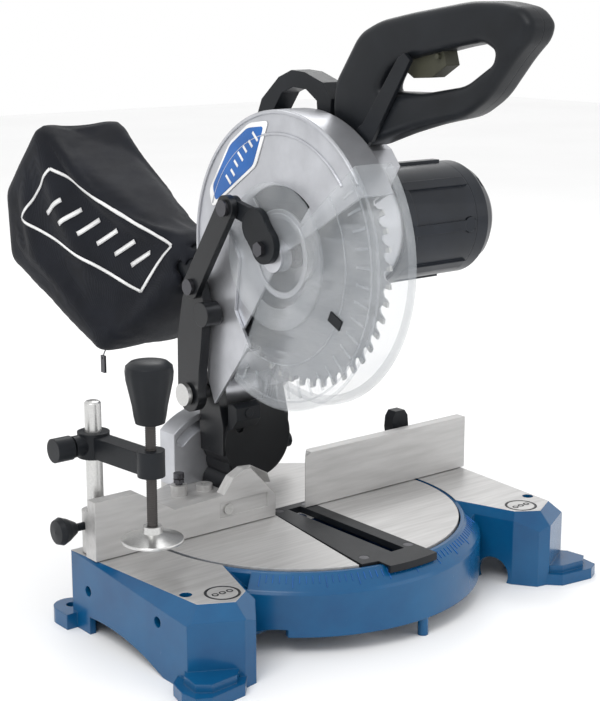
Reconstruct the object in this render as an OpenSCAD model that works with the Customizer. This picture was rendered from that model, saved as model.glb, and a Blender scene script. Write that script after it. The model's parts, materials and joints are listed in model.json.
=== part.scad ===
/* [Table] */
// Height of the work table above the bench
table_h = 60; // [55:1:70]
// Width across the two wings
base_w = 376; // [360:2:400]
// Radius of the mitre turntable
disc_r = 130; // [126:1:131]
/* [Fence] */
// Height of the fence above the table
fence_h = 46; // [40:1:50]
/* [Blade] */
// Saw blade diameter
blade_d = 210; // [200:1:210]
// Bore of the saw blade
blade_bore = 30; // [20:1:30]
/* [Head] */
// Height of the arbor above the bench with the head up
arbor_z = 270; // [268:1:274]
// Height of the chop hinge above the bench
hinge_z = 142; // [140:1:144]
// Distance of the chop hinge behind the mitre axis
hinge_y = 102; // [101:1:104]
/* [Motor] */
// Outer radius of the motor housing
motor_r = 45; // [42:1:46]
// Teeth on the motor pinion
pinion_teeth = 9; // [8:1:10]
// Teeth on the arbor gear
gear_teeth = 42; // [40:1:43]
/* [Clamp] */
// Diameter of the clamp post
post_d = 12.5; // [12:0.5:13]
// Height of the top of the clamp post above the bench
post_top = 176; // [170:1:180]
/* [Dust bag] */
// Width of the dust bag
bag_w = 96; // [80:2:110]

/* [Hidden] */
$fn = 64;
half_w = base_w / 2;
wall = 5;
well_r = disc_r + 1;
ring_r = 147;
fit = 0.05;
arbor_y = -4;
blade_r = blade_d / 2;
gear_module = 1.25;
gear_gap = gear_module * (pinion_teeth + gear_teeth) / 2;
gear_angle = 141;
motor_y = arbor_y + gear_gap * cos(gear_angle);
motor_z = arbor_z + gear_gap * sin(gear_angle);
motor_x0 = 45;
motor_x1 = 146;
pin_r = 6;
pivot_r = 8;
bevel_z = table_h;
lock_bolt_r = 52;
handle_x = 30;
carry_x = 26;
post_x = -174;
post_y = 22;
spindle_x = -168;
spindle_y = -45;
rod_bores = [[13, 34], [-79, 40]];
bench_holes = [[172, -91], [183, 46]];
guard_top = 140;
guard_end = 297;
cover_a0 = -54;
cover_a1 = 150;
port_y = 94;
port_z = 227;
port_tilt = 25;
bag_x = -12;

// Cylinder along X through (y, z)
module x_rod(r, x0, x1, y = 0, z = 0) {
    translate([x0, y, z]) rotate([0, 90, 0]) cylinder(r = r, h = x1 - x0);
}

// Cylinder along Y through (x, z)
module y_rod(r, y0, y1, x = 0, z = 0) {
    translate([x, y0, z]) rotate([-90, 0, 0]) cylinder(r = r, h = y1 - y0);
}

// Plate in the Y-Z plane from x0 to x1
module yz_plate(x0, x1) {
    translate([x0, 0, 0]) rotate([90, 0, 90]) linear_extrude(x1 - x0) children();
}

// Plate in the X-Z plane from y0 to y1
module xz_plate(y0, y1) {
    translate([0, y1, 0]) rotate([90, 0, 0]) linear_extrude(y1 - y0) children();
}

// Ring sector round the arbor axis, angles from +Y towards +Z
module arbor_sector(r0, r1, a0, a1, x0, x1) {
    translate([x0, arbor_y, arbor_z]) rotate([90, 0, 90]) rotate([0, 0, a0])
        rotate_extrude(angle = a1 - a0) translate([r0, 0]) square([r1 - r0, x1 - x0]);
}

// Straight bar with round ends in the Y-Z plane
module round_bar(p, q, r, x0, x1) {
    x_rod(r, x0, x1, p[0], p[1]);
    x_rod(r, x0, x1, q[0], q[1]);
    length = norm(q - p);
    angle = atan2(q[1] - p[1], q[0] - p[0]);
    side = 0.97 * r;
    inset = 0.05;
    translate([x0 + inset, p[0], p[1]]) rotate([angle, 0, 0]) translate([0, 0, -side])
        cube([x1 - x0 - 2 * inset, length, 2 * side]);
}

module both_sides() {
    children();
    mirror([1, 0, 0]) children();
}

// Everything above a sloping plane through p, used to bevel the wing edges
module above_plane(p, azimuth, tilt = 45) {
    translate(p) rotate([0, 0, azimuth]) rotate([0, tilt, 0])
        translate([-100, -200, 0]) cube([200, 400, 50]);
}

// ---- base ----

module wing_solid() {
    difference() {
        linear_extrude(table_h) polygon([[60, 36], [half_w, 36], [half_w, -115], [153, -134],
            [142, -132], [130, -115], [119, -82], [60, -82]]);
        above_plane([half_w, 36, table_h], -4.7, 44);
        above_plane([165, -116, table_h], -61.5);
        above_plane([147, -119, table_h], -124);
        above_plane([131, -98, table_h], -161.6);
    }
}

module wing_hollow() {
    translate([0, 0, -1]) linear_extrude(table_h - 12) polygon([[60, 36 - wall], [half_w - wall, 36 - wall],
        [half_w - wall, -108], [153, -125], [146, -124], [136, -112], [125, -77], [60, -77]]);
}

module wing() {
    difference() {
        wing_solid();
        wing_hollow();
        translate([0, 0, -1]) cylinder(r = 133, h = table_h + 2);
    }
    for (h = bench_holes) translate([h[0], h[1], 0]) cylinder(r = 9, h = h[1] > 0 ? 12 : table_h - 8);
    for (b = rod_bores) x_rod(8, 152, half_w - 1, b[0], b[1]);
    translate([169, 30, 0]) cube([28, 16, 12]);
    translate([183, 46, 0]) cylinder(r = 14, h = 12);
    linear_extrude(9) polygon([[146, -128], [184, -100], [198, -112], [202, -128], [200, -142],
        [190, -147], [160, -143]]);
    linear_extrude(15) polygon([[151, -127], [183, -105], [193, -118], [195, -134],
                               [186, -141], [164, -139]]);
}

module wing_cuts() {
    for (h = bench_holes) translate([h[0], h[1], -1]) cylinder(d = 9, h = table_h + 2);
    for (b = rod_bores) x_rod(4, 140, half_w + 10, b[0], b[1]);
    intersection() {
        x_rod(209, 170, 210, -8, -194.3);
        translate([170, -90, -1]) cube([40, 102, 60]);
    }
    translate([124.5, -98.5, 6]) rotate([0, 0, -71.6]) y_rod(14, -30, 22);
}

module base_casting() {
    color("#0f67ad") {
        difference() {
            union() {
                both_sides() wing();
                // ring wall, with its upper part in front and at the sides only
                rotate_extrude() polygon([[131.4, 18], [136, 18], [136, 45], [131.4, 45]]);
                rotate([0, 0, 165]) rotate_extrude(angle = 210)
                    polygon([[131.4, 42], [135.5, 42], [135.5, 57], [134, 58.6],
                             [well_r, 58.6], [well_r, 44.8],
                        [131.4, 44.8]]);
                // front skirt with the sloping scale band
                rotate([0, 0, 217]) rotate_extrude(angle = 106) polygon([[134.5, 40], [134.5, 58.1],
                    [145.5, 48.5], [ring_r, 46], [ring_r, 14], [142, 14], [142, 40]]);
                translate([6, -142.5, 0]) cylinder(r = 4, h = 20);
            }
            both_sides() wing_cuts();
            both_sides() translate([150, -104, table_h - 0.6]) difference() {
                cylinder(r = 13, h = 2);
                translate([0, 0, -1]) cylinder(r = 11, h = 4);
            }
        }
    }
}

// Six-armed carrier inside the ring: hub for the mitre bolt, and the ledge that the turntable runs on
module turntable_carrier() {
    color("#0f67ad") difference() {
        union() {
            rotate_extrude() polygon([[118, 36], [131.3, 36], [131.3, 44.4], [118, 44.4]]);
            translate([0, 0, 22]) cylinder(r = 20, h = 22);
            for (i = [0:5]) rotate([0, 0, 30 + 60 * i]) translate([18, -3, 26]) cube([101, 6, 15]);
        }
        translate([0, 0, 20]) cylinder(r = pivot_r + fit, h = 30);
    }
}

// ---- fence ----

fence_y1 = 10;
fence_bolt_x = [-158, 152, 174];
fence_knob_x = 127;
socket_knob_z = 82;

module fence() {
    top = table_h + fence_h;
    foot = table_h + 0.7;
    color("#c9cacf") difference() {
        union() {
            xz_plate(0, fence_y1) polygon([[-half_w, foot], [-22, foot], [-22, 84], [-30, 98], [-40, 104],
                [-52, 105], [-63, 100], [-72, 88], [-118, 86], [-151, top], [-half_w, top]]);
            xz_plate(0, fence_y1) polygon([[9, foot], [half_w, foot], [half_w, top], [15, top],
                [10.5, top - 2], [9, top - 7]]);
            // end gussets and the screw-down feet behind each panel
            translate([-half_w, 0, foot]) cube([6, 14, 36]);
            for (x = [-half_w + 1, 138]) translate([x, fence_y1 - 1, foot]) cube([x < 0 ? 24 : 49, 4, 9]);
            for (x = fence_bolt_x) translate([x - 8, fence_y1 - 1, foot]) cube([16, 24, 8]);
            // socket for the clamp post and the boss under the fence knob
            translate([post_x, post_y, foot]) cylinder(r = 10.5, h = 32);
            translate([post_x - 8, fence_y1 - 1, foot]) cube([16, 8, 32]);
            translate([fence_knob_x, post_y, foot]) cylinder(r = 9, h = 28);
            translate([fence_knob_x - 6, fence_y1 - 1, foot]) cube([12, 8, 28]);
        }
        for (x = fence_bolt_x) translate([x, 24, foot - 1]) cylinder(r = 3.2, h = 20);
        translate([post_x, post_y, foot - 1]) cylinder(d = post_d + 2 * fit, h = 50);
        x_rod(3 + fit, -200, post_x, post_y, socket_knob_z);
        translate([fence_knob_x, post_y, foot + 4]) cylinder(r = 4 + fit, h = 50);
        xz_plate(-1, 1.2) polygon([[-76, 70], [-30, 70], [-30, 82], [-76, 82]]);
        y_rod(2.5 + fit, -1, fence_y1 + 1, -68, 76);
        // rear corners cut back and a shallow groove, so that the blade passes at full mitre and full bevel
        translate([9, 1, 50]) rotate([0, 0, 45]) translate([-20, 0, 0]) cube([40, 20, 80]);
        translate([-22, 1, 50]) rotate([0, 0, 45]) translate([0, -20, 0]) cube([20, 40, 80]);
        translate([0, 0, table_h]) rotate([0, 0, 45]) rotate([0, -33, 0])
            x_rod(blade_r + 1.5, -3, 3, -63.9, 91.8);
    }
}

module fence_bolts() {
    color("#3a3d42") for (x = fence_bolt_x) {
        translate([x, 24, table_h + 8.7]) cylinder(r = 5.5, h = 5, $fn = 6);
        translate([x, 24, table_h + 0.7]) cylinder(r = 3.15, h = 9);
    }
}

module fence_screw() {
    color("silver") {
        y_rod(2.5, 0.2, fence_y1, -68, 76);
        y_rod(4.2, -0.8, 1.1, -68, 76);
    }
}

// Clamp screw with a tapered plastic head, along X into the left socket
module socket_knob() {
    color("#1b1d21") translate([-192, post_y, socket_knob_z]) rotate([0, -90, 0]) rotate_extrude()
        polygon([[0, 0], [4.5, 0], [8.5, 7], [10.5, 12], [9, 16], [0, 17]]);
    color("silver") x_rod(3, -192.5, -180.6, post_y, socket_knob_z);
}

// Upright wing knob on the right end of the fence
module fence_knob() {
    translate([fence_knob_x, post_y, 0]) {
        color("#1b1d21") xz_plate(-5, 5) polygon([[-8, 95], [8, 95], [9.5, 104], [8.5, 113],
                                                  [5, 118], [-5, 118],
            [-8.5, 113], [-9.5, 104]]);
        color("#1b1d21") translate([0, 0, 90]) cylinder(r = 6.5, h = 8);
        color("silver") translate([0, 0, 65]) cylinder(r = 4, h = 26);
    }
}

// ---- turntable ----

kerf_screw_at = [[-28, -114], [16, -114], [-12, 8], [16, 8]];

module kerf_outline() {
    polygon([[-18, 14], [21, 14], [21, -128], [-10, -129.8], [-39, -123.8]]);
}

module turntable() {
    color("#b8b6b4") difference() {
        union() {
            translate([0, 0, 48]) cylinder(r = disc_r - 0.4, h = table_h - 48);
            translate([0, 0, 44.5]) cylinder(r = 24, h = 4);
            translate([-42, 100, 46]) cube([84, 33, 14]);
            // bosses for the bevel stop screw and the pointer
            translate([-51, 93, table_h]) cylinder(r = 7, h = 9);
            translate([-26, 92, table_h]) cylinder(r = 7, h = 5);
        }
        translate([0, 0, 40]) cylinder(r = pivot_r + fit, h = 30);
        translate([0, 0, 55]) linear_extrude(6) kerf_recess();
        translate([-6, -122, 40]) cube([22, 111, 20]);
        y_rod(15, 74, 112, 0, bevel_z);
        y_rod(pivot_r + fit, 100, 140, 0, bevel_z);
        translate([-51, 93, 50]) cylinder(r = 3, h = 30);
        translate([-26, 92, 58]) cylinder(r = 2.5, h = 10);
    }
}

// Recess that takes the kerf plate with a thin gap all round
module kerf_recess() {
    polygon([[-18.3, 14.3], [21.3, 14.3], [21.3, -135], [-42.8, -135]]);
}

module mitre_pivot_bolt() {
    color("#8f9297") {
        translate([0, 0, 14]) cylinder(r = pivot_r, h = 40);
        translate([0, 0, 14]) cylinder(r = 13, h = 7.8, $fn = 6);
    }
}

module bevel_column() {
    color("#c4c6ca") difference() {
        intersection() {
            y_rod(62, 112, 133, 0, bevel_z);
            translate([-42, 110, table_h + 0.1]) cube([84, 25, 70]);
        }
        y_rod(pivot_r + fit, 105, 140, 0, bevel_z);
        translate([0, 140, bevel_z]) rotate([90, 0, 0]) rotate([0, 0, 84])
            rotate_extrude(angle = 48) translate([lock_bolt_r - 4.6, 0]) square([9.2, 40]);
        for (a = [84, 132]) y_rod(4.6, 105, 140, lock_bolt_r * cos(a), bevel_z + lock_bolt_r * sin(a));
    }
}

module kerf_plate() {
    color("#2b2c2f") difference() {
        union() {
            translate([0, 0, 55.1]) linear_extrude(5.2) kerf_outline();
            // nose that laps over the edge of the base and carries the mitre pointer
            intersection() {
                translate([0, 0, 59]) cylinder(r = 142, h = 1.3);
                translate([-25, -145, 50]) cube([46, 20, 20]);
            }
            intersection() {
                rotate([0, 0, 240]) rotate_extrude(angle = 60)
                    polygon([[139.6, 54.8], [142, 54.8], [142, 60.3], [139.6, 60.3]]);
                translate([-25, -145, 50]) cube([46, 20, 20]);
            }
        }
        translate([-4.5, -118, 50]) cube([13, 124, 15]);
        for (p = kerf_screw_at) {
            translate([p[0], p[1], 50]) cylinder(r = 2.05, h = 15);
            translate([p[0], p[1], 58.6]) cylinder(r = 3.8, h = 5);
        }
    }
}

module kerf_screws() {
    color("#16171a") for (p = kerf_screw_at) {
        translate([p[0], p[1], 55.2]) cylinder(r = 2, h = 4);
        translate([p[0], p[1], 58.7]) cylinder(r = 3.7, h = 1.5);
    }
}

module bevel_stop_screw() {
    color("#17181b") {
        translate([-51, 93, 52]) cylinder(r = 2.95, h = 24);
        translate([-51, 93, 71]) cylinder(r = 5, h = 3, $fn = 6);
        translate([-51, 93, 75]) cylinder(r = 4.5, h = 4);
    }
}

module bevel_pivot_bolt() {
    color("#8f9297") {
        y_rod(pivot_r, 82, 139, 0, bevel_z);
        translate([0, 133.3, bevel_z]) rotate([-90, 0, 0]) cylinder(r = 12, h = 8, $fn = 6);
    }
}

// ---- bevel arm ----

transport_at = [92, 88];

module hinge_cheek(x0, x1) {
    x_rod(16, x0, x1, hinge_y, hinge_z);
    yz_plate(x0, x1) polygon([[78, 90], [110, 90], [111.2, 124], [117.5, hinge_z - 2], [87, hinge_z + 5],
        [78, 116]]);
}

module bevel_arm() {
    color("#1d1f23") difference() {
        union() {
            y_rod(34, 76, 111.4, 19, 100);
            y_rod(16, 78, 111.4, 6, 79);
            y_rod(14, 78, 111.4, 0, bevel_z);
            hinge_cheek(-16, -7.2);
            hinge_cheek(44.2, 53);
        }
        x_rod(25, -7.2, 44.2, hinge_y, hinge_z);
        translate([-7.2, 60, hinge_z - 4]) cube([51.4, 60, 60]);
        y_rod(pivot_r + fit, 70, 120, 0, bevel_z);
        x_rod(pin_r, -20, 60, hinge_y, hinge_z);
        y_rod(4, 70, 120, 0, bevel_z + lock_bolt_r);
        x_rod(3 + fit, 34, 60, transport_at[0], transport_at[1]);
    }
}

module hinge_pin() {
    color("silver") x_rod(pin_r - 0.02, -36, 62, hinge_y, hinge_z);
}

module hinge_pin_head() {
    color("silver") difference() {
        union() {
            x_rod(9.5, -40, -36.1, hinge_y, hinge_z);
            translate([58, hinge_y, hinge_z]) rotate([0, 90, 0]) cylinder(r = 10, h = 6, $fn = 6);
        }
        x_rod(pin_r, -37, 70, hinge_y, hinge_z);
    }
}

// Torsion spring round the hinge knuckle, closed coils
module return_spring() {
    wire = 1.6;
    color("#55585e") {
        for (i = [0:3]) translate([31.5 + i * 2.9, hinge_y, hinge_z]) rotate([0, 90, 0])
            rotate_extrude() translate([19, 0]) circle(r = wire, $fn = 24);
        x_rod(1.2, 31, 41, hinge_y, hinge_z + 19);
    }
}

module laser_housing() {
    color("#1b1c20") {
        yz_plate(-12.4, 12.4) polygon([[75.9, 112], [70, 114], [63.5, 122], [63.5, 133], [70, 136],
            [75.9, 134]]);
        y_rod(4, 62.5, 70, 0, 128);
    }
}

// Clamping bolt and its cranked lever behind the column
module bevel_lock_lever() {
    z = bevel_z + lock_bolt_r;
    color("silver") y_rod(3.95, 78, 140, 0, z);
    color("#1b1d21") {
        y_rod(9, 134, 146, 0, z);
        translate([0, 138, z - 5]) cube([52, 8, 10]);
        y_rod(7, 136, 152, 52, z);
    }
}

// Pull-out pin that locks the head down for carrying
module transport_pin() {
    color("silver") x_rod(3, 36, 54, transport_at[0], transport_at[1]);
    color("#1b1d21") x_rod(7, 53.3, 63, transport_at[0], transport_at[1]);
}

// ---- head castings ----

arm_points = [[91, 158], [80, 162], [68, 156], [52, 152], [40, 172], [32, 196], [10, 222], [-40, 262],
    [-20, 300], [60, 300], [92, 250], [112, 200], [117, 152]];

lock_at = [-4, 243];

module gear_housing_body() {
    difference() {
        union() {
            x_rod(74, 12, 17, arbor_y, arbor_z);
            x_rod(34, 12, 43, arbor_y, arbor_z);
            x_rod(motor_r - 1, 17, 44.7, motor_y, motor_z);
            yz_plate(13, 43) polygon(arm_points);
            // top pad that carries both handles
            yz_plate(12.2, 43) polygon([[-70, 340], [-60, 352], [-18, 374], [72, 370], [84, 352],
                [56, 290], [-38, 290]]);
        }
        // room for the return spring round the hinge knuckle
        x_rod(22, 28.5, 50, hinge_y, hinge_z);
        x_rod(8 + fit, 5, 60, arbor_y, arbor_z);
        x_rod(29, 20, 38, arbor_y, arbor_z);
        x_rod(8.2, 20, 50, motor_y, motor_z);
        x_rod(16.6, 11, 17.2, arbor_y, arbor_z);
        x_rod(14.1, 37, 46, arbor_y, arbor_z);
        x_rod(3 + fit, 30, 60, lock_at[0], lock_at[1]);
    }
}

module gear_housing() {
    color("#b9bbbf") difference() {
        union() {
            gear_housing_body();
            x_rod(16, -6.7, 30, hinge_y, hinge_z);
            x_rod(12, 27, 43.7, hinge_y, hinge_z);
        }
        x_rod(pin_r + fit, -20, 60, hinge_y, hinge_z);
    }
}

module upper_guard() {
    color("#c9cacf") difference() {
        union() {
            arbor_sector(108, 111, cover_a0, cover_a1, -19, 9);
            difference() {
                union() {
                    arbor_sector(6, 109, cover_a0 + 0.4, cover_a1 - 0.4, -18.9, -17);
                    arbor_sector(6, 109, cover_a0 + 0.4, cover_a1 - 0.4, 7, 8.9);
                }
                arbor_sector(36, 54, 50, 130, -20, -16);
            }
            // centre boss that the lower guard turns on, and three pads against the gear housing
            x_rod(12, -28, -17.5, arbor_y, arbor_z);
            x_rod(26, 7, 11.8, arbor_y, arbor_z);
            x_rod(10, 8, 11.9, arbor_y + 60, arbor_z + 60);
            x_rod(10, 8, 11.9, arbor_y - 40, arbor_z + 75);
        }
        x_rod(17, 5, 13, arbor_y, arbor_z);
        x_rod(2.5 + fit, -29, -18, 2, 276);
        // mouth of the dust duct
        translate([-14, port_y, port_z]) rotate([port_tilt, 0, 0])
            translate([0, -14, -12]) cube([18, 40, 24]);
    }
}

module rear_guard_panel() {
    color("#c2c4c8") {
        yz_plate(-22, -19.1) polygon([[34, 193], [52, 219], [46, 262], [62, 285], [88, 240], [91, 170],
            [90, 156], [81, 136]]);
        difference() {
            yz_plate(-19.2, -14) polygon([[84, 163], [96, 196], [94, 220], [88, 200], [78, 166]]);
            x_rod(111.2, -19.05, -10, arbor_y, arbor_z);
        }
    }
}

// Black lug that runs from the hinge up the left side of the guard
module hinge_strut() {
    color("#1b1d21") difference() {
        union() {
            x_rod(15, -34, -25.4, hinge_y, hinge_z);
            yz_plate(-34, -25.4) polygon([[88, 136], [116.5, 146], [116, 190], [108, 222],
                                     [98, 242], [84, 240],
                [78, 222], [82, 190], [86, 164]]);
            x_rod(10, -40, -25.4, 74, 214);
        }
        x_rod(pin_r + fit, -50, -20, hinge_y, hinge_z);
        x_rod(4 + fit, -50, -20, 88, 235);
    }
}

stay_top = [40, 304];
stay_low = [88, 235];
module guard_stay() {
    color("#17191d") difference() {
        round_bar(stay_top, stay_low, 10, -40, -34.3);
        x_rod(4 + fit, -50, -20, stay_top[0], stay_top[1]);
        x_rod(4 + fit, -50, -20, stay_low[0], stay_low[1]);
    }
}

module stay_screws() {
    color("#6d7076") for (p = [stay_top, stay_low]) {
        x_rod(4, -40.5, -28.5, p[0], p[1]);
        x_rod(6.5, -43.5, -40.2, p[0], p[1]);
    }
}

module guard_badge() {
    color("#0f67ad") yz_plate(-19.9, -19.1) intersection() {
        polygon([[10, 372], [26, 336], [84, 298], [88, 312], [60, 352], [24, 378]]);
        translate([arbor_y, arbor_z]) circle(r = 106);
    }
}

module hub_cap() {
    color("#141518") difference() {
        union() {
            round_bar([0, 279], [11, 292], 14.5, -33.8, -28.1);
            round_bar([11, 298], stay_top, 7, -33.6, -28.4);
            x_rod(9, -33.4, -28.6, stay_top[0], stay_top[1]);
        }
        x_rod(2.5 + fit, -40, -20, 2, 276);
        x_rod(4 + fit, -40, -20, stay_top[0], stay_top[1]);
    }
}

module hub_bolt() {
    color("#4a4d52") {
        x_rod(2.5, -34, -20, 2, 276);
        translate([-37.5, 2, 276]) rotate([0, 90, 0]) cylinder(r = 6, h = 3.6, $fn = 6);
    }
}

// ---- motor and drive ----

brush_x = 114;

module motor_housing() {
    color("#2a2d33") difference() {
        union() {
            x_rod(motor_r, motor_x0, motor_x1 - 24, motor_y, motor_z);
            x_rod(motor_r + 1.8, motor_x0, motor_x0 + 12, motor_y, motor_z);
            for (a = [0:45:315]) translate([motor_x0 + 8, motor_y, motor_z]) rotate([a, 0, 0])
                translate([0, motor_r - 2, -4]) cube([66, 4, 8]);
        }
        x_rod(motor_r - 4, motor_x0 + 3, motor_x1, motor_y, motor_z);
        x_rod(8.2, motor_x0 - 2, motor_x0 + 5, motor_y, motor_z);
        for (s = [-1, 1]) translate([brush_x, motor_y, motor_z]) rotate([0, 0, s * 90]) x_rod(6.2, 30, 50);
    }
}

module motor_end_cap() {
    x0 = motor_x1 - 23.8;
    color("#24272c") difference() {
        union() {
            difference() {
                translate([x0, motor_y, motor_z]) rotate([0, 90, 0]) rotate_extrude()
                    polygon([[0, 0], [motor_r, 0], [motor_r, 12], [motor_r - 4, 20],
                             [motor_r - 11, 28], [0, 31]]);
                x_rod(motor_r - 5, x0 - 1, x0 + 18, motor_y, motor_z);
            }
            x_rod(15, x0 + 8, x0 + 20, motor_y, motor_z);
        }
        x_rod(11, x0 + 7, x0 + 17.6, motor_y, motor_z);
        for (a = [45:90:315]) translate([x0 + 14, motor_y, motor_z]) rotate([a, 0, 0])
            x_rod(5, 0, 20, motor_r - 3, 0);
        for (i = [-3:3]) translate([x0 + 24, motor_y - 22, motor_z + i * 6 - 1.2]) cube([16, 44, 2.4]);
    }
}

module brush_caps() {
    color("#101114") for (s = [-1, 1])
        translate([brush_x, motor_y, motor_z]) rotate([0, 0, s * 90]) x_rod(6, motor_r - 11, motor_r + 0.9);
}

module stator() {
    color("#8a4b2a") difference() {
        x_rod(motor_r - 4.3, 62, 104, motor_y, motor_z);
        x_rod(24.5, 60, 106, motor_y, motor_z);
    }
}

module bearings() {
    color("silver") {
        for (x = [12.5, 38.2]) difference() {
            x_rod(x < 20 ? 16.5 : 14, x, x + 4.6, arbor_y, arbor_z);
            x_rod(8 + fit, x - 1, x + 6, arbor_y, arbor_z);
        }
        difference() {
            x_rod(10.95, 131.5, 138.5, motor_y, motor_z);
            x_rod(4 + fit, 130, 141, motor_y, motor_z);
        }
    }
}

module armature() {
    color("#9a9da3") {
        x_rod(4, 24, 138.5, motor_y, motor_z);
        x_rod(gear_module * pinion_teeth / 2 - 1, 22, 36, motor_y, motor_z);
        x_rod(23, 64, 100, motor_y, motor_z);
        x_rod(13, 107, 121, motor_y, motor_z);
    }
    color("#e8e8e8") for (a = [0:40:320]) translate([50, motor_y, motor_z]) rotate([a, 0, 0])
        translate([0, 3, -1]) cube([9, 34, 2]);
}

module arbor_spindle() {
    color("#8f9297") {
        x_rod(8, -5, 42, arbor_y, arbor_z);
        x_rod(gear_module * gear_teeth / 2 - 1, 23, 35, arbor_y, arbor_z);
    }
}

module saw_blade() {
    teeth = 24;
    color("#9fa3a9") difference() {
        union() {
            x_rod(blade_r - 7, -0.8, 0.8, arbor_y, arbor_z);
            for (i = [0:teeth - 1]) translate([-1.2, arbor_y, arbor_z]) rotate([i * 360 / teeth, 0, 0])
                translate([0, blade_r - 12, 0]) cube([2.4, 11.5, 9]);
        }
        x_rod(blade_bore / 2, -5, 5, arbor_y, arbor_z);
    }
}

module blade_flanges() {
    color("#7d8086") {
        difference() {
            union() {
                x_rod(22, -4.4, -0.9, arbor_y, arbor_z);
                x_rod(blade_bore / 2, -1, 0.9, arbor_y, arbor_z);
            }
            x_rod(8, -10, 10, arbor_y, arbor_z);
        }
        difference() {
            x_rod(22, 0.9, 5, arbor_y, arbor_z);
            x_rod(8, -10, 10, arbor_y, arbor_z);
        }
    }
}

module arbor_bolt() {
    color("#3c3f44") {
        translate([-10.5, arbor_y, arbor_z]) rotate([0, 90, 0]) cylinder(r = 8, h = 4, $fn = 6);
        x_rod(11, -6.6, -5.1, arbor_y, arbor_z);
    }
}

module lower_guard() {
    color([0.8, 0.83, 0.86, 0.5]) difference() {
        union() {
            arbor_sector(40, 119, guard_top, guard_end, -25, -23.2);
            arbor_sector(116.8, 120, guard_top, guard_end, -25, 11);
            arbor_sector(112.5, 120, guard_top, guard_end, 9.6, 11);
            x_rod(57, -27, -23.2, arbor_y, arbor_z);
        }
        x_rod(12 + fit, -30, -20, arbor_y, arbor_z);
    }
}

module guard_pad() {
    color("#2a2d33") translate([-25.1, arbor_y - 73, arbor_z - 38]) rotate([25, 0, 0])
        translate([-1.5, -7, -4])
        cube([1.5, 14, 8]);
}

module spindle_lock() {
    color("#2a2d33") x_rod(6, 45.2, 52, lock_at[0], lock_at[1]);
    color("silver") x_rod(3, 37.2, 46, lock_at[0], lock_at[1]);
}

// ---- handles ----

handle_outline = [[-20, 374], [-22, 400], [-50, 438], [-72, 447], [-106, 453], [-163, 461], [-190, 461],
    [-212, 457], [-222, 447], [-219, 436], [-206, 424], [-182, 396], [-161, 383], [-123, 375], [-91, 366],
    [-56, 354]];
handle_opening = [[-72, 396], [-80, 410], [-92, 418], [-150, 430], [-176, 434], [-188, 428], [-186, 420],
    [-160, 404], [-118, 397]];

handle_screw_at = [[-45, 385], [-60, 425], [-200, 440], [-150, 390]];
trigger_pivot = [-130, 423];
lever_pivot = [-63, 364];

module handle_shell(x0, x1) {
    difference() {
        yz_plate(x0, x1) difference() {
            polygon(handle_outline);
            polygon(handle_opening);
        }
        // pocket for the switch and the trigger
        translate([handle_x - 7.5, -142, 413]) cube([15, 52, 26]);
        for (p = handle_screw_at) x_rod(2.2, x0 - 1, x1 + 1, p[0], p[1]);
        x_rod(2 + fit, handle_x - 10, handle_x + 10, trigger_pivot[0], trigger_pivot[1]);
    }
}

module handle_left_shell() {
    color("#23262b") difference() {
        handle_shell(16, handle_x);
        x_rod(3 + fit, 15, handle_x - 6, lever_pivot[0], lever_pivot[1]);
    }
}

module handle_right_shell() {
    color("#23262b") handle_shell(handle_x + 0.05, 44);
}

module handle_screws() {
    color("silver") for (p = handle_screw_at) {
        x_rod(2.15, 18, 43.8, p[0], p[1]);
        x_rod(3.8, 44.05, 45.5, p[0], p[1]);
    }
}

module trigger_switch() {
    color("#111214") translate([handle_x - 7, -128, 428.5]) cube([14, 36, 10]);
}

module trigger() {
    color("#4b4a42") {
        yz_plate(handle_x - 6.5, handle_x + 6.5) polygon([[-93, 423], [-134, 427], [-137, 417], [-122, 408],
            [-104, 407], [-95, 412]]);
        x_rod(2, handle_x - 9.5, handle_x + 9.5, trigger_pivot[0], trigger_pivot[1]);
    }
}

module release_lever() {
    color("#101114") {
        yz_plate(11.8, 15.2) polygon([[-54, 362], [-72, 360], [-112, 420], [-106, 425], [-99, 421]]);
        x_rod(8, 11.8, 15.2, lever_pivot[0], lever_pivot[1]);
        x_rod(3, 15, 23, lever_pivot[0], lever_pivot[1]);
    }
}

module carry_handle() {
    color("#1d1f24") yz_plate(carry_x - 9, carry_x + 9) difference() {
        polygon([[72, 371], [66, 384], [44, 402], [28, 408], [12, 407], [-10, 400], [-20, 388], [-19, 375]]);
        polygon([[54, 372], [40, 390], [26, 395], [10, 394], [-3, 386], [-4, 374]]);
    }
}

// ---- dust collection ----

module dust_port() {
    color("#1b1d21") difference() {
        translate([-3, port_y, port_z]) rotate([port_tilt, 0, 0]) difference() {
            union() {
                y_rod(19, 14, 46);
                translate([-10.5, 2, -13]) cube([19, 16, 26]);
            }
            y_rod(16, 18, 50);
            translate([-8, 0, -10]) cube([14, 20, 20]);
        }
        x_rod(111.2, -30, 30, arbor_y, arbor_z);
    }
}

module dust_bag() {
    bag_points = [[206, 172], [348, 230], [352, 284], [298, 341]];
    color("#202329") difference() {
        hull() {
            translate([-3, port_y, port_z]) rotate([port_tilt, 0, 0]) y_rod(22, 29, 46);
            for (p = bag_points) for (s = [-1, 1]) translate([bag_x + s * (bag_w / 2 - 12), p[0], p[1]])
                sphere(r = 12, $fn = 20);
        }
        translate([-3, port_y, port_z]) rotate([port_tilt, 0, 0]) y_rod(19.3, 20, 48);
    }
}

module zipper_pull() {
    color("#4a4d52") difference() {
        translate([-52, 203, 143]) cube([2, 6, 15.3]);
        x_rod(0.9, -55, -45, 206, 156);
    }
}

// ---- clamp ----

module clamp_post() {
    color("#b5b8bd") {
        translate([post_x, post_y, 61]) cylinder(d = post_d, h = post_top - 62);
        translate([post_x, post_y, post_top - 1]) cylinder(d1 = post_d, d2 = post_d - 2, h = 1);
    }
}

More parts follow.
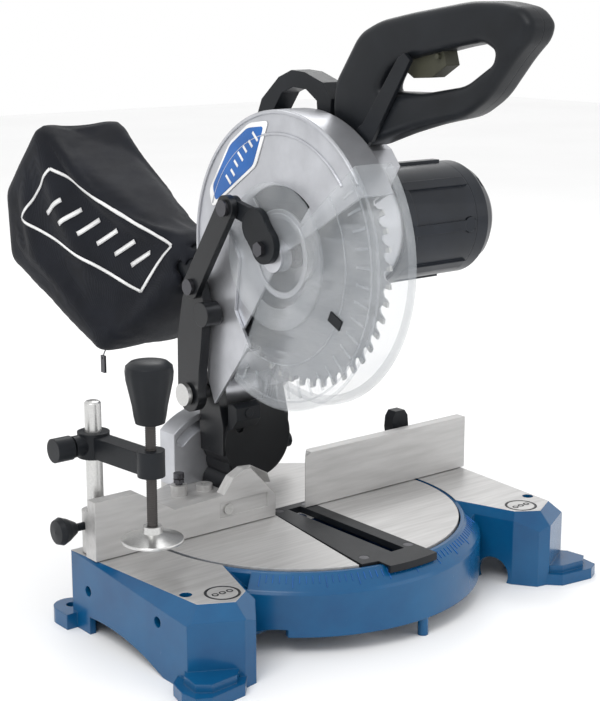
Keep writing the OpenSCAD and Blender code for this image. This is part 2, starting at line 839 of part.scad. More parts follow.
module clamp_arm() {
    color("#1b1d21") difference() {
        union() {
            translate([post_x, post_y, 134]) cylinder(r = 12, h = 19);
            translate([spindle_x, spindle_y, 134]) cylinder(r = 10, h = 19);
            translate([post_x, post_y, 135]) rotate([0, 0, -atan2(spindle_x - post_x, spindle_y - post_y)])
                translate([-7, 0, 0]) cube([14, norm([spindle_x - post_x, spindle_y - post_y]), 16]);
            x_rod(8, post_x - 18, post_x - 8, post_y, 144);
        }
        translate([post_x, post_y, 120]) cylinder(d = post_d + 2 * fit, h = 40);
        translate([spindle_x, spindle_y, 120]) cylinder(r = 4 + fit, h = 40);
        x_rod(3 + fit, post_x - 20, post_x - 5, post_y, 144);
    }
}

module arm_knob() {
    color("#1b1d21") x_rod(9, post_x - 34, post_x - 20, post_y, 144);
    color("silver") x_rod(3, post_x - 21, post_x - 6.6, post_y, 144);
}

module clamp_spindle() {
    color("#4a3a34") translate([spindle_x, spindle_y, 90]) cylinder(r = 4, h = 84);
}

module spindle_knob() {
    color("#1b1d21") translate([spindle_x, spindle_y, 172]) rotate_extrude()
        polygon([[0, 2.5], [0, 46], [8, 46], [15, 44], [17.5, 40], [17, 32], [13, 14], [10.5, 1], [8, 0],
            [4.2, 0], [4.2, 2.5]]);
}

module pressure_pad() {
    color("#b5b8bd") difference() {
        translate([spindle_x, spindle_y, 85]) rotate_extrude()
            polygon([[0, 0], [20, 0], [22.5, 1.5], [22.5, 2.5], [14, 4.5], [9, 7], [7, 12], [0, 12]]);
        translate([spindle_x, spindle_y, 89]) cylinder(r = 4 + fit, h = 20);
    }
}

base_casting();
turntable_carrier();
fence();
fence_bolts();
fence_screw();
socket_knob();
fence_knob();
turntable();
mitre_pivot_bolt();
bevel_column();
kerf_plate();
kerf_screws();
bevel_stop_screw();
bevel_pivot_bolt();
bevel_arm();
hinge_pin();
hinge_pin_head();
return_spring();
laser_housing();
bevel_lock_lever();
transport_pin();
gear_housing();
upper_guard();
rear_guard_panel();
hinge_strut();
guard_stay();
stay_screws();
guard_badge();
hub_cap();
hub_bolt();
motor_housing();
motor_end_cap();
brush_caps();
stator();
bearings();
armature();
arbor_spindle();
saw_blade();
blade_flanges();
arbor_bolt();
lower_guard();
guard_pad();
spindle_lock();
handle_left_shell();
handle_right_shell();
handle_screws();
trigger_switch();
trigger();
release_lever();
carry_handle();
dust_port();
dust_bag();
zipper_pull();
clamp_post();
clamp_arm();
arm_knob();
clamp_spindle();
spindle_knob();
pressure_pad();
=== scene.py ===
import json
import math
import bpy
import bmesh
from mathutils import Matrix, Vector, noise


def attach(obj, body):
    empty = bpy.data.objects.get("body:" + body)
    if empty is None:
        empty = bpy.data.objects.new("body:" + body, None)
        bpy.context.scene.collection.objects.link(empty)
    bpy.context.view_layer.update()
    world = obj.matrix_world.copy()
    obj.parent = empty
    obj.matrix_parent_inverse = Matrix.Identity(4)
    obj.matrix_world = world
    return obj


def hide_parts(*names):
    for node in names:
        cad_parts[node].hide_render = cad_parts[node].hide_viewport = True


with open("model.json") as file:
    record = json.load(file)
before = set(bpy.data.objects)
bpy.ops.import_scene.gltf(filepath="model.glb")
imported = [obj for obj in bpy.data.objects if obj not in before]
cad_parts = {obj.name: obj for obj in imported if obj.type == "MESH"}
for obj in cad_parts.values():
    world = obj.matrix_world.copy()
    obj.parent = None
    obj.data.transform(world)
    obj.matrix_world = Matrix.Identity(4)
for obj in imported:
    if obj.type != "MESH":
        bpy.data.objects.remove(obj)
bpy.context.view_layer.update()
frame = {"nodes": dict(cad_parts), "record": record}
MM = 0.001

# ---- camera, light, floor ----

cam_data = bpy.data.cameras.new("camera")
cam = bpy.data.objects.new("camera", cam_data)
bpy.context.scene.collection.objects.link(cam)
cam.location = (-0.7434, -0.9260, 0.4671)
aim = Vector((0.0201, 0.0211, 0.1856))
cam.rotation_euler = (aim - cam.location).to_track_quat("-Z", "Y").to_euler()
cam_data.sensor_width = 36.0
cam_data.lens = 79.64
bpy.context.scene.camera = cam


def area_light(name, at, target, size, power):
    data = bpy.data.lights.new(name, "AREA")
    data.size = size
    data.energy = power
    lamp = bpy.data.objects.new(name, data)
    lamp.location = at
    lamp.rotation_euler = (Vector(target) - Vector(at)).to_track_quat("-Z", "Y").to_euler()
    bpy.context.scene.collection.objects.link(lamp)
    return lamp


area_light("key", (-1.1, -0.6, 1.6), (0, 0, 0.15), 0.8, 13.0)
area_light("fill", (0.9, -1.4, 0.8), (0, 0, 0.2), 1.0, 2.5)
area_light("rim", (0.9, 1.1, 1.5), (0, 0.1, 0.2), 0.8, 7.0)
world = bpy.data.worlds.new("studio")
bpy.context.scene.world = world
world.use_nodes = True
world.node_tree.nodes["Background"].inputs["Color"].default_value = (1.0, 1.0, 1.0, 1)
world.node_tree.nodes["Background"].inputs["Strength"].default_value = 1.0
bpy.context.scene.view_settings.view_transform = "Standard"


# ---- materials ----

class Nodes:
    """A material's node tree with short calls for the nodes used here."""

    def __init__(self, name):
        self.mat = bpy.data.materials.new(name)
        self.mat.use_nodes = True
        self.tree = self.mat.node_tree
        self.bsdf = self.tree.nodes["Principled BSDF"]
        self.coord = self.tree.nodes.new("ShaderNodeTexCoord").outputs["Object"]

    def link(self, a, b):
        self.tree.links.new(a, b)

    def value(self, a, b):
        if isinstance(a, (int, float, tuple)):
            b.default_value = a
        else:
            self.link(a, b)

    def noise(self, scale, detail=4, stretch=(1, 1, 1), rough=0.55):
        m = self.tree.nodes.new("ShaderNodeMapping")
        m.inputs["Scale"].default_value = stretch
        self.link(self.coord, m.inputs["Vector"])
        n = self.tree.nodes.new("ShaderNodeTexNoise")
        n.inputs["Scale"].default_value = scale
        n.inputs["Detail"].default_value = detail
        n.inputs["Roughness"].default_value = rough
        self.link(m.outputs["Vector"], n.inputs["Vector"])
        return n.outputs["Fac"]

    def wave(self, scale, axis="X", distortion=0.0):
        n = self.tree.nodes.new("ShaderNodeTexWave")
        n.bands_direction = axis
        n.inputs["Scale"].default_value = scale
        n.inputs["Distortion"].default_value = distortion
        self.link(self.coord, n.inputs["Vector"])
        return n.outputs["Fac"]

    def math(self, op, a, b=0.0, c=0.0):
        n = self.tree.nodes.new("ShaderNodeMath")
        n.operation = op
        for v, s in zip((a, b, c), n.inputs):
            self.value(v, s)
        return n.outputs[0]

    def axis(self, name):
        n = self.tree.nodes.new("ShaderNodeSeparateXYZ")
        self.link(self.coord, n.inputs[0])
        return n.outputs[name]

    def ramp(self, fac, lo, hi, p0=0.35, p1=0.65):
        n = self.tree.nodes.new("ShaderNodeValToRGB")
        n.color_ramp.elements[0].position = p0
        n.color_ramp.elements[1].position = p1
        n.color_ramp.elements[0].color = (*lo, 1)
        n.color_ramp.elements[1].color = (*hi, 1)
        self.link(fac, n.inputs["Fac"])
        return n.outputs["Color"]

    def mix(self, fac, a, b):
        n = self.tree.nodes.new("ShaderNodeMix")
        n.data_type = "RGBA"
        self.value(fac, n.inputs["Factor"])
        for v, s in ((a, n.inputs["A"]), (b, n.inputs["B"])):
            self.value((*v, 1) if isinstance(v, tuple) and len(v) == 3 else v, s)
        return n.outputs["Result"]

    def range(self, fac, lo, hi):
        n = self.tree.nodes.new("ShaderNodeMapRange")
        self.link(fac, n.inputs["Value"])
        n.inputs["To Min"].default_value = lo
        n.inputs["To Max"].default_value = hi
        return n.outputs["Result"]

    def bump(self, height, strength, distance, edge=0.0):
        n = self.tree.nodes.new("ShaderNodeBump")
        if edge:
            soft = self.tree.nodes.new("ShaderNodeBevel")
            soft.samples = 4
            soft.inputs["Radius"].default_value = edge
            self.link(soft.outputs["Normal"], n.inputs["Normal"])
        n.inputs["Strength"].default_value = strength
        n.inputs["Distance"].default_value = distance
        self.link(height, n.inputs["Height"])
        self.link(n.outputs["Normal"], self.bsdf.inputs["Normal"])

    def set(self, **values):
        for key, v in values.items():
            self.value(v, self.bsdf.inputs[key.replace("_", " ")])
        return self


def cast_metal(name, colour, rough=0.38, metallic=0.75, grain=900.0, vary=0.06, stretch=(1, 1, 1)):
    n = Nodes(name)
    dark = tuple(c * (1 - vary * 2) for c in colour)
    light = tuple(min(1.0, c * (1 + vary)) for c in colour)
    n.set(Base_Color=n.ramp(n.noise(45.0), dark, light, 0.3, 0.7), Metallic=metallic)
    fine = n.noise(grain, 3, stretch)
    n.set(Roughness=n.range(fine, rough - 0.07, rough + 0.1))
    n.bump(fine, 0.25, 0.0002, 0.0012)
    return n.mat


def plastic(name, colour, rough=0.42, grain=1800.0, strength=0.2, coat=0.0):
    n = Nodes(name)
    dark = tuple(c * 0.8 for c in colour)
    light = tuple(c * 1.25 for c in colour)
    n.set(Base_Color=n.ramp(n.noise(30.0), dark, light, 0.3, 0.7))
    fine = n.noise(grain, 2)
    n.set(Roughness=n.range(n.noise(70.0), rough - 0.06, rough + 0.08), Coat_Weight=coat)
    n.set(Specular_IOR_Level=0.2)
    n.bump(fine, strength, 0.0002, 0.001)
    return n.mat


def painted_base():
    """Glossy blue over the casting, with the tops of the wings machined bare."""
    n = Nodes("blue_paint")
    blue = n.ramp(n.noise(22.0), (0.001, 0.06, 0.165), (0.002, 0.085, 0.21), 0.3, 0.7)
    bare = n.ramp(n.noise(260.0, 3, (0.08, 1, 1)), (0.44, 0.435, 0.43), (0.56, 0.555, 0.55), 0.3, 0.7)
    top = n.math("GREATER_THAN", n.axis("Z"), 0.05985)
    n.set(Base_Color=n.mix(top, blue, bare))
    n.set(Metallic=n.math("MULTIPLY", top, 0.6))
    n.set(Roughness=n.math("ADD", n.math("MULTIPLY", top, 0.16), n.range(n.noise(300.0), 0.2, 0.3)))
    n.set(Coat_Weight=0.15, Coat_Roughness=0.12, Specular_IOR_Level=0.35)
    n.bump(n.noise(380.0, 2), 0.12, 0.0003, 0.0012)
    return n.mat


def machined():
    """Milled aluminium with faint straight cutter lines, painted blue below the table."""
    n = Nodes("machined_aluminium")
    lines = n.noise(300.0, 3, (0.06, 1, 0.5))
    low = n.math("LESS_THAN", n.axis("Z"), 0.0548)
    bare = n.ramp(lines, (0.43, 0.425, 0.42), (0.54, 0.535, 0.53), 0.3, 0.7)
    n.set(Base_Color=n.mix(low, bare, (0.003, 0.03, 0.1)), Metallic=0.55)
    n.set(Roughness=n.range(lines, 0.38, 0.52))
    n.bump(lines, 0.1, 0.0001, 0.0006)
    return n.mat


def steel(name, colour, rough=0.28, stretch=(1, 1, 1), metallic=0.95):
    n = Nodes(name)
    lines = n.noise(700.0, 3, stretch)
    dark = tuple(c * 0.85 for c in colour)
    n.set(Base_Color=n.ramp(lines, dark, colour, 0.3, 0.7), Metallic=metallic)
    n.set(Roughness=n.range(lines, rough - 0.06, rough + 0.1))
    n.bump(lines, 0.12, 0.0001)
    return n.mat


def clear_plastic():
    """Scratched clear polycarbonate, slightly milky."""
    n = Nodes("clear_guard")
    haze = n.noise(35.0, 3)
    n.set(Base_Color=n.ramp(haze, (0.4, 0.43, 0.46), (0.56, 0.58, 0.6), 0.3, 0.7))
    n.set(Alpha=n.range(haze, 0.16, 0.26))
    n.set(Roughness=n.range(n.noise(500.0), 0.08, 0.2), Coat_Weight=0.6, Coat_Roughness=0.08)
    n.bump(n.noise(60.0, 2), 0.1, 0.0006)
    return n.mat


def woven(name, colour):
    """Plain-weave nylon with broad soft creases."""
    n = Nodes(name)
    warp = n.wave(520.0, "X")
    weft = n.wave(520.0, "Z")
    weave = n.math("MULTIPLY", warp, weft)
    dark = tuple(c * 0.6 for c in colour)
    light = tuple(c * 1.5 for c in colour)
    threads = n.math("MULTIPLY", weave, 0.4)
    patches = n.math("MULTIPLY", n.noise(25.0), 0.6)
    n.set(Base_Color=n.ramp(n.math("ADD", threads, patches), dark, light, 0.25, 0.75))
    n.set(Roughness=n.range(n.noise(80.0), 0.62, 0.8), Sheen_Weight=0.06, Sheen_Roughness=0.4,
          Specular_IOR_Level=0.2)
    n.bump(n.math("ADD", n.math("MULTIPLY", weave, 0.25), n.noise(28.0, 3)), 0.5, 0.0015)
    return n.mat


M = {
    "blue_paint": painted_base(),
    "machined_aluminium": machined(),
    "cast_silver": cast_metal("cast_silver", (0.52, 0.53, 0.56), 0.34, 0.75, 700.0),
    "black_plastic": plastic("black_plastic", (0.009, 0.0105, 0.013), 0.38),
    "motor_plastic": plastic("motor_plastic", (0.011, 0.014, 0.02), 0.34, 900.0, 0.12, 0.1),
    "black_casting": cast_metal("black_casting", (0.008, 0.009, 0.011), 0.3, 0.2, 800.0, 0.1),
    "zinc": steel("zinc", (0.62, 0.62, 0.61), 0.3),
    "steel": steel("steel", (0.42, 0.43, 0.45), 0.3, (1, 1, 1)),
    "dark_steel": steel("dark_steel", (0.1, 0.1, 0.11), 0.36),
    "clear_guard": clear_plastic(),
    "badge_blue": plastic("badge_blue", (0.006, 0.1, 0.36), 0.28, 500.0, 0.05, 0.5),
    "white_print": plastic("white_print", (0.8, 0.8, 0.8), 0.4, 900.0, 0.05),
    "copper_winding": steel("copper_winding", (0.55, 0.24, 0.1), 0.4, (0.05, 1, 1)),
    "olive_plastic": plastic("olive_plastic", (0.05, 0.05, 0.035), 0.5),
    "nylon": woven("nylon", (0.0075, 0.009, 0.014)),
    "nylon_edge": plastic("nylon_edge", (0.01, 0.011, 0.016), 0.6, 1200.0, 0.3),
    "brown_steel": steel("brown_steel", (0.085, 0.08, 0.078), 0.4),
}

for part in frame["record"]["subparts"]:
    node = frame["nodes"][part["node"]]
    for s in node.material_slots:
        s.material = M[part["material_slot"]]


for name in ("motor_housing", "motor_end_cap", "brush_caps"):
    for s in frame["nodes"][name].material_slots:
        s.material = M["motor_plastic"]


# ---- mesh helpers, all in millimetres ----

AXES = {
    "x": Matrix(((0, 0, 1), (1, 0, 0), (0, 1, 0))),
    "y": Matrix(((1, 0, 0), (0, 0, -1), (0, 1, 0))),
    "z": Matrix(((1, 0, 0), (0, 1, 0), (0, 0, 1))),
}


def finish_mesh(name, mesh, material, body, stands_for=(), smooth=True, angle=35):
    ob = bpy.data.objects.new(name, mesh)
    bpy.context.scene.collection.objects.link(ob)
    mesh.materials.clear()
    mesh.materials.append(M[material])
    if smooth:
        mesh.shade_smooth()
        mesh.set_sharp_from_angle(angle=math.radians(angle))
    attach(ob, body)
    if stands_for:
        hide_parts(*stands_for)
    return ob


def plate_mesh(loops, axis, a, b, bevel=0.0, steps=3):
    """Flat plate between a and b on an axis, with rounded edges. Outlines after the first are holes."""
    curve = bpy.data.curves.new("plate", "CURVE")
    curve.dimensions = "2D"
    curve.fill_mode = "BOTH"
    thick = (b - a) * MM
    bevel = min(bevel * MM, thick * 0.499)
    curve.extrude = thick / 2 - bevel
    curve.bevel_depth = bevel
    curve.bevel_resolution = steps
    curve.offset = -bevel
    for loop in loops:
        sp = curve.splines.new("POLY")
        sp.points.add(len(loop) - 1)
        for p, q in zip(sp.points, loop):
            p.co = (q[0] * MM, q[1] * MM, 0, 1)
        sp.use_cyclic_u = True
    ob = bpy.data.objects.new("plate", curve)
    bpy.context.scene.collection.objects.link(ob)
    bpy.context.view_layer.update()
    dg = bpy.context.evaluated_depsgraph_get()
    mesh = bpy.data.meshes.new_from_object(ob.evaluated_get(dg))
    bpy.data.objects.remove(ob)
    bpy.data.curves.remove(curve)
    turn = AXES[axis].to_4x4()
    along = AXES[axis] @ Vector((0, 0, 1))
    middle = (a + b) / 2 * MM
    shift = Vector([abs(c) * middle for c in along])
    mesh.transform(Matrix.Translation(shift) @ turn)
    weld(mesh)
    return mesh


def weld(mesh):
    bm = bmesh.new()
    bm.from_mesh(mesh)
    bmesh.ops.remove_doubles(bm, verts=bm.verts, dist=1e-6)
    bmesh.ops.recalc_face_normals(bm, faces=bm.faces)
    bm.to_mesh(mesh)
    bm.free()


def joined(meshes):
    bm = bmesh.new()
    for m in meshes:
        bm.from_mesh(m)
        bpy.data.meshes.remove(m)
    out = bpy.data.meshes.new("joined")
    bm.to_mesh(out)
    bm.free()
    return out


def loft_mesh(rings, caps=(True, True)):
    """Skin over closed rings of equal point counts, in millimetres."""
    bm = bmesh.new()
    rows = [[bm.verts.new(Vector(p) * MM) for p in ring] for ring in rings]
    for r0, r1 in zip(rows, rows[1:]):
        for i in range(len(r0)):
            j = (i + 1) % len(r0)
            bm.faces.new((r0[i], r0[j], r1[j], r1[i]))
    if caps[0]:
        bm.faces.new(rows[0][::-1])
    if caps[1]:
        bm.faces.new(rows[-1])
    bmesh.ops.remove_doubles(bm, verts=bm.verts, dist=1e-6)
    bmesh.ops.recalc_face_normals(bm, faces=bm.faces)
    out = bpy.data.meshes.new("loft")
    bm.to_mesh(out)
    bm.free()
    return out


def lathe_mesh(profile, at, axis, n=48, shape=None):
    """Turned solid: profile is (distance along the axis, radius). shape(angle, along) scales the radius."""
    turn = AXES[axis]
    sign = Vector([abs(c) for c in turn @ Vector((0, 0, 1))])
    rings = []
    for d, r in profile:
        ring = []
        for i in range(n):
            t = 2 * math.pi * i / n
            k = shape(t, d) if shape else 1.0
            v = turn @ Vector((math.cos(t) * max(r, 0.01) * k, math.sin(t) * max(r, 0.01) * k, 0))
            ring.append(Vector(at) + sign * d + v)
        rings.append(ring)
    return loft_mesh(rings)


def tube_mesh(path, radius, n=10):
    """Round bar along a list of points."""
    rings = []
    pts = [Vector(p) for p in path]
    side = None
    for i, p in enumerate(pts):
        d = (pts[min(i + 1, len(pts) - 1)] - pts[max(i - 1, 0)]).normalized()
        if side is None:
            side = d.orthogonal().normalized()
        side = (side - d * side.dot(d)).normalized()
        up = d.cross(side)
        rings.append([p + (side * math.cos(t) + up * math.sin(t)) * radius
                      for t in (2 * math.pi * k / n for k in range(n))])
    return loft_mesh(rings)


def filleted(points, r, n=5):
    """Closed outline with its corners rounded to radius r at most."""
    out = []
    count = len(points)
    for i in range(count):
        a, p, b = (Vector(points[(i + k) % count]) for k in (-1, 0, 1))
        cut = min(r, (a - p).length * 0.45, (b - p).length * 0.45)
        start = p + (a - p).normalized() * cut
        end = p + (b - p).normalized() * cut
        for s in range(n + 1):
            t = s / n
            out.append(tuple(start * (1 - t) ** 2 + p * 2 * t * (1 - t) + end * t * t))
    return out


ARBOR = (-4.0, 270.0)


def polar(r, a, centre=ARBOR):
    return (centre[0] + r * math.cos(math.radians(a)), centre[1] + r * math.sin(math.radians(a)))


def sector(r0, r1, a0, a1, step=2.0):
    n = max(2, int((a1 - a0) / step))
    outer = [polar(r1, a0 + (a1 - a0) * i / n) for i in range(n + 1)]
    inner = [polar(r0, a1 - (a1 - a0) * i / n) for i in range(n + 1)]
    return outer + inner


def soft_path(points, n=6):
    """Open smooth line through the points."""
    out = []
    last = len(points) - 1
    for i in range(last):
        p0, p1, p2, p3 = (Vector(points[max(0, min(last, i + k))]) for k in (-1, 0, 1, 2))
        for k in range(n):
            t = k / n
            out.append(0.5 * (2 * p1 + (p2 - p0) * t + (2 * p0 - 5 * p1 + 4 * p2 - p3) * t * t
                              + (3 * p1 - p0 - 3 * p2 + p3) * t ** 3))
    out.append(Vector(points[-1]))
    return out


def circle(r, centre, n=48):
    return [polar(r, 360 * i / n, centre) for i in range(n)]


def piece(name, meshes, material, body, stands_for=(), smooth=True, angle=35):
    if not isinstance(meshes, list):
        meshes = [meshes]
    mesh = joined(meshes)
    mesh.name = name
    return finish_mesh(name, mesh, material, body, stands_for, smooth, angle)


# ---- saw blade ----

TEETH = 48


def blade_outline(teeth=TEETH, outer=104.9, root=98.5):
    """Toothed rim of the saw blade, with one gullet and one tip for each tooth."""
    out = []
    step = 360 / teeth
    for i in range(teeth):
        a = i * step
        out += [polar(root, a), polar(root - 1.2, a + step * 0.25), polar(root + 0.8, a + step * 0.5),
                polar(outer - 1.2, a + step * 0.62), polar(outer, a + step * 0.97),
                polar(root + 2.5, a + step * 0.985)]
    return out


piece("blade_disc", plate_mesh([blade_outline(), circle(15.2, ARBOR)], "x", -0.8, 0.8, 0.15, 1),
      "steel", "blade", ("saw_blade",))
tips = []
for i in range(TEETH):
    a = i * 360 / TEETH
    tip = [polar(100.6, a + 5.6), polar(104.6, a + 5.2), polar(105.0, a + 7.25), polar(100.8, a + 7.38)]
    tips.append(plate_mesh([tip], "x", -1.2, 1.2, 0.1, 1))
piece("carbide_tips", tips, "zinc", "blade")

# ---- clear lower guard ----

GUARD_FROM, GUARD_TO = 140.0, 297.0
guard = [
    plate_mesh([sector(40, 119, GUARD_FROM, GUARD_TO)], "x", -25.0, -23.2, 0.4),
    plate_mesh([sector(116.8, 120, GUARD_FROM, GUARD_TO)], "x", -25.0, 11.0, 0.5),
    plate_mesh([sector(112.5, 120, GUARD_FROM, GUARD_TO)], "x", 9.6, 11.0, 0.3),
    plate_mesh([circle(57, ARBOR, 96), circle(12.1, ARBOR, 48)], "x", -27.0, -23.4, 0.8),
    plate_mesh([sector(111.5, 113, GUARD_FROM + 1, GUARD_TO - 1)], "x", -25.9, -24.9, 0.3),
    plate_mesh([sector(83, 84.2, GUARD_FROM + 1, GUARD_TO - 1)], "x", -25.7, -24.9, 0.3),
]
for i in range(20):
    a = GUARD_FROM + 6 + i * 7.6
    guard.append(plate_mesh([sector(96, 110, a, a + 1.3, 0.6)], "x", -25.8, -24.9, 0.3))
piece("clear_guard_shell", guard, "clear_guard", "lower_guard", ("lower_guard",))

# ---- handles ----

outline = [(-20, 374), (-22, 400), (-50, 438), (-72, 447), (-106, 453), (-163, 461), (-190, 461),
           (-212, 457), (-222, 447), (-219, 436), (-206, 424), (-182, 396), (-161, 383), (-123, 375),
           (-91, 366), (-56, 354)]
opening = [(-72, 396), (-80, 410), (-92, 418), (-150, 430), (-176, 434), (-188, 428), (-186, 420),
           (-160, 404), (-118, 397)]
for name, lo_x, hi_x in (("left", 16.0, 29.95), ("right", 30.05, 44.0)):
    mesh = plate_mesh([filleted(outline, 9), filleted(opening, 8)], "x", 16.0, 44.0, 6.5, 5)
    bm = bmesh.new()
    bm.from_mesh(mesh)
    for x, away in ((lo_x, False), (hi_x, True)):
        cut = bmesh.ops.bisect_plane(bm, geom=bm.verts[:] + bm.edges[:] + bm.faces[:],
                                     plane_co=(x * MM, 0, 0), plane_no=(1, 0, 0),
                                     clear_outer=away, clear_inner=not away)
        edges = [e for e in cut["geom_cut"] if isinstance(e, bmesh.types.BMEdge)]
        if edges:
            bmesh.ops.triangle_fill(bm, edges=edges, use_beauty=True)
    bm.to_mesh(mesh)
    bm.free()
    piece(f"grip_shell_{name}", mesh, "black_plastic", "head", (f"handle_{name}_shell",))

# ---- dust bag ----

BAG_CORNERS = [(206, 172), (348, 230), (352, 284), (298, 341)]
BAG_SIDES = (-48.0, 24.0)


def bag_cloth():
    """The bag as sewn, remeshed and left to fall in between its wire edges under cloth simulation."""
    source = frame["nodes"]["dust_bag"]
    mesh = source.data.copy()
    ob = bpy.data.objects.new("bag_cloth", mesh)
    bpy.context.scene.collection.objects.link(ob)
    remesh = ob.modifiers.new("remesh", "REMESH")
    remesh.mode = "VOXEL"
    remesh.voxel_size = 0.0055
    bpy.context.view_layer.update()
    dg = bpy.context.evaluated_depsgraph_get()
    mesh = bpy.data.meshes.new_from_object(ob.evaluated_get(dg))
    ob.modifiers.clear()
    ob.data = mesh
    middle = sum((v.co for v in mesh.vertices), Vector()) / len(mesh.vertices)
    pins = ob.vertex_groups.new(name="pins")
    start = []
    for v in mesh.vertices:
        p = v.co / MM
        near = 1e9
        for x in BAG_SIDES:
            for (y0, z0), (y1, z1) in zip(BAG_CORNERS, BAG_CORNERS[1:]):
                a = Vector((x, y0, z0))
                d = Vector((x, y1, z1)) - a
                t = max(0.0, min(1.0, (p - a).dot(d) / d.length_squared))
                near = min(near, (p - a - d * t).length)
        held = 1.0 if p.y < 137 else max(0.0, min(0.9, (19 - near) / 8))
        if held > 0:
            pins.add([v.index], held, "REPLACE")
        start.append(v.co.copy())
    cloth = ob.modifiers.new("cloth", "CLOTH")
    st = cloth.settings
    st.quality = 5
    st.mass = 0.3
    st.tension_stiffness = 12
    st.compression_stiffness = 6
    st.shear_stiffness = 5
    st.bending_stiffness = 1.2
    st.vertex_group_mass = "pins"
    st.use_pressure = True
    st.uniform_pressure_force = -0.9
    st.shrink_min = -0.008
    st.effector_weights.gravity = 0.5
    scene = bpy.context.scene
    for frame_no in range(1, 22):
        scene.frame_set(frame_no)
    dg = bpy.context.evaluated_depsgraph_get()
    done = bpy.data.meshes.new_from_object(ob.evaluated_get(dg))
    ob.modifiers.clear()
    ob.data = done
    scene.frame_set(1)
    for v, was in zip(done.vertices, start):
        move = v.co - was
        if move.length > 0.008:
            v.co = was + move.normalized() * 0.008
    for v in ob.data.vertices:
        crease = noise.noise(Vector((v.co.x * 9, v.co.y * 30, v.co.z * 14))) * 0.0018
        inward = (middle - v.co).normalized()
        fade = min(1.0, max(0.0, (v.co.y - 0.135) / 0.03))
        v.co += inward * (0.0012 + crease) * fade
    mesh = ob.data
    bpy.data.objects.remove(ob)
    return mesh


bag = finish_mesh("bag_cloth", bag_cloth(), "nylon", "head", ("dust_bag",), angle=60)
sub = bag.modifiers.new("subdivision", "SUBSURF")
sub.levels = 1
sub.render_levels = 1


def on_bag(name, strips, material):
    """Flat printed strips laid on the bag's left flank, each from a point to a point with a width."""
    bm = bmesh.new()
    for p, q, width in strips:
        p, q = Vector(p), Vector(q)
        d = (q - p).normalized()
        side = d.cross(Vector((1, 0, 0))).normalized() * width / 2
        steps = max(2, int((q - p).length / 3))
        rows = []
        for i in range(steps + 1):
            c = p.lerp(q, i / steps)
            rows.append((bm.verts.new((c + side) * MM), bm.verts.new((c - side) * MM)))
        for r0, r1 in zip(rows, rows[1:]):
            bm.faces.new((r0[0], r1[0], r1[1], r0[1]))
    mesh = bpy.data.meshes.new(name)
    bm.to_mesh(mesh)
    bm.free()
    hit_on = bag.evaluated_get(bpy.context.evaluated_depsgraph_get())
    for v in mesh.vertices:
        found, place, _, _ = hit_on.ray_cast(Vector((-0.12, v.co.y, v.co.z)), Vector((1, 0, 0)))
        if found:
            v.co.x = place.x - 0.0006
    ob = finish_mesh(name, mesh, material, "head")
    thick = ob.modifiers.new("thick", "SOLIDIFY")
    thick.thickness = 0.0004
    thick.offset = 0
    return ob


frame_a, frame_b, frame_c, frame_d = (-60, 278, 315), (-48, 136, 261), (-50, 166, 219), (-60, 325, 266)


def between(u, v):
    """Point on the printed frame: u along its length from the back, v down from its upper edge."""
    top = Vector(frame_a).lerp(Vector(frame_b), u)
    low = Vector(frame_d).lerp(Vector(frame_c), u)
    return tuple(top.lerp(low, v))


strips = [(frame_a, frame_b, 2.6), (frame_b, frame_c, 2.6), (frame_c, frame_d, 2.6), (frame_d, frame_a, 2.6)]
for i in range(6):
    u = 0.15 + i * 0.14
    strips.append((between(u, 0.68), between(u + 0.05, 0.32), 4.2))
on_bag("bag_print", strips, "white_print")

zip_hold = bag.evaluated_get(bpy.context.evaluated_depsgraph_get())
found, under, _, _ = zip_hold.ray_cast(Vector((-0.047, 0.206, 0.1)), Vector((0, 0, 1)))
zip_top = under.z / MM + 1.5 if found else 166
zip_path = soft_path([(-51, 206, 157.2), (-50.2, 206, 160), (-48, 206, zip_top)], 6)
piece("zip_loop", tube_mesh(zip_path, 0.55, 8), "dark_steel", "head")

# ---- trim on the guard ----

badge = [(10, 372), (26, 336), (84, 298), (88, 312), (60, 352), (34, 369)]
centre = Vector((sum(q[0] for q in badge) / 6, sum(q[1] for q in badge) / 6))
inner = [tuple(centre + (Vector(q) - centre) * 0.86) for q in badge]
piece("badge_border", plate_mesh([filleted(badge, 5)], "x", -19.9, -19.1, 0.2), "white_print", "head",
      ("guard_badge",))
piece("badge_face", plate_mesh([filleted(inner, 4)], "x", -20.2, -19.5, 0.2), "badge_blue", "head")
along = Vector((58, -60)).normalized()
cross = Vector((-along.y, along.x))
bars = []
for i in range(7):
    c = Vector((26, 359)) + along * (i * 8.4) + cross * (2.0 if i in (2, 3, 4) else 0)
    tall = 6.5 if i % 3 else 9.0
    bar = [tuple(c - cross * tall / 2 - along * 1.2), tuple(c + cross * tall / 2 - along * 1.2),
           tuple(c + cross * tall / 2 + along * 1.2), tuple(c - cross * tall / 2 + along * 1.2)]
    bars.append(plate_mesh([bar], "x", -20.45, -20.1, 0.1, 1))
piece("badge_bars", bars, "white_print", "head")

piece("window_liner", plate_mesh([sector(33, 57, 47, 133)], "x", -16.95, -16.5, 0.1), "black_plastic", "head")
bead = [(-19.2, *polar(109.2, a)) for a in range(-50, 148, 3)]
ridge = [(-19.0, *polar(93, a)) for a in range(20, 142, 3)]
piece("guard_beads", [tube_mesh(bead, 1.5, 8), tube_mesh(ridge, 1.3, 8)], "cast_silver", "head")
hub_edges = [circle(33, ARBOR, 72), circle(28, ARBOR, 72)]
piece("hub_ring", plate_mesh(hub_edges, "x", -19.9, -18.9, 0.4), "cast_silver", "head")

# ---- rings pressed into the wings ----

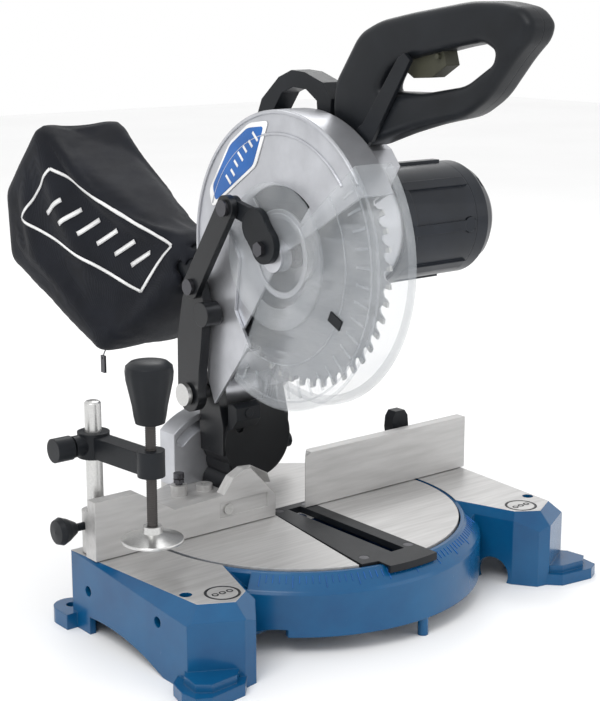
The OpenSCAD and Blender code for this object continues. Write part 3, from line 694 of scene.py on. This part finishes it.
for side in (-1, 1):
    at = (side * 150, -104)
    ring_meshes = [plate_mesh([circle(12.9, at, 64), circle(11.1, at, 64)], "z", 59.45, 60.1, 0.1, 1)]
    for k in (-1, 0, 1):
        dot = (at[0] + k * 6.2, at[1])
        ring_meshes.append(plate_mesh([circle(2.6, dot, 24), circle(1.5, dot, 24)],
                                      "z", 59.95, 60.15, 0.05, 1))
    piece("wing_ring_left" if side < 0 else "wing_ring_right", ring_meshes, "black_plastic", "base")

# ---- clamp, knobs and small turned pieces ----

post = (-174.0, 22.0)
spindle = (-168.0, -45.0)
thread = []
turns = 46
for i in range(turns * 12 + 1):
    t = 2 * math.pi * i / 12
    thread.append((spindle[0] + 3.65 * math.cos(t), spindle[1] + 3.65 * math.sin(t), 98 + i / 12 * 1.6))
piece("spindle_thread", [lathe_mesh([(90, 0), (90, 3.6), (173.8, 3.6), (173.8, 0)], (*spindle, 0), "z", 32),
                         tube_mesh(thread, 0.34, 6)], "brown_steel", "clamp_spindle", ("clamp_spindle",))


def fluted(turn, height):
    """Twelve shallow grip flutes round the knob, between its foot and its crown."""
    return 1 - (0.03 * (0.5 + 0.5 * math.cos(turn * 12)) if 178 < height < 212 else 0)


# each profile is (height, radius) up the axis
cone = [(174.3, 0), (174.3, 4.2), (172, 4.2), (172, 8), (173, 10.5), (178, 11.6), (186, 13), (196, 15.2),
        (204, 17), (210, 17.5), (214, 16.6), (216.8, 13.4), (218, 8), (218, 0)]
piece("spindle_cone", lathe_mesh(cone, (*spindle, 0), "z", 64, fluted), "black_plastic", "clamp_spindle",
      ("spindle_knob",))
pad = [(89.2, 0), (89.2, 4.1), (97, 4.1), (97, 6.6), (92, 7.2), (89.6, 14), (87.6, 22), (86.8, 22.5),
       (85.6, 22.3), (85, 20), (85, 0)]
piece("pad_disc", lathe_mesh(pad, (*spindle, 0), "z", 64), "zinc", "pressure_pad", ("pressure_pad",))
rod = [(61, 0), (61, 6.2), (174.6, 6.2), (175.6, 5.4), (176, 4.6), (176, 0)]
piece("post_rod", lathe_mesh(rod, (*post, 0), "z", 48), "zinc", "clamp_post", ("clamp_post",))

# ---- mitre scale on the sloping band ----

ticks = []
for i in range(-50, 51, 2):
    a = math.radians(-90 + i)
    long = 9.5 if i % 10 == 0 else 6.0
    d = Vector((math.cos(a), math.sin(a), 0))
    side = Vector((-d.y, d.x, 0))
    down = (d * 11 + Vector((0, 0, -9.6))).normalized()
    out = Vector((-down.z * d.x, -down.z * d.y, 0)) + Vector((0, 0, (down.x ** 2 + down.y ** 2) ** 0.5))
    p = d * 135.2 + Vector((0, 0, 57.7))
    rings4 = []
    for w in (0.0, long):
        q = p + down * (1.0 + w)
        rings4.append([q + side * 0.35 - out * 0.4, q - side * 0.35 - out * 0.4, q - side * 0.25 + out * 0.25,
                       q + side * 0.25 + out * 0.25])
    ticks.append(loft_mesh(rings4))
piece("scale_ticks", ticks, "badge_blue", "base", smooth=False)

# ---- floor ----

bpy.ops.mesh.primitive_plane_add(size=9)
floor = bpy.context.object
floor.name = "floor"
n = Nodes("floor_pale")
n.set(Base_Color=n.ramp(n.noise(2.0), (0.93, 0.93, 0.93), (0.95, 0.95, 0.95)), Roughness=0.7)
floor.data.materials.append(n.mat)
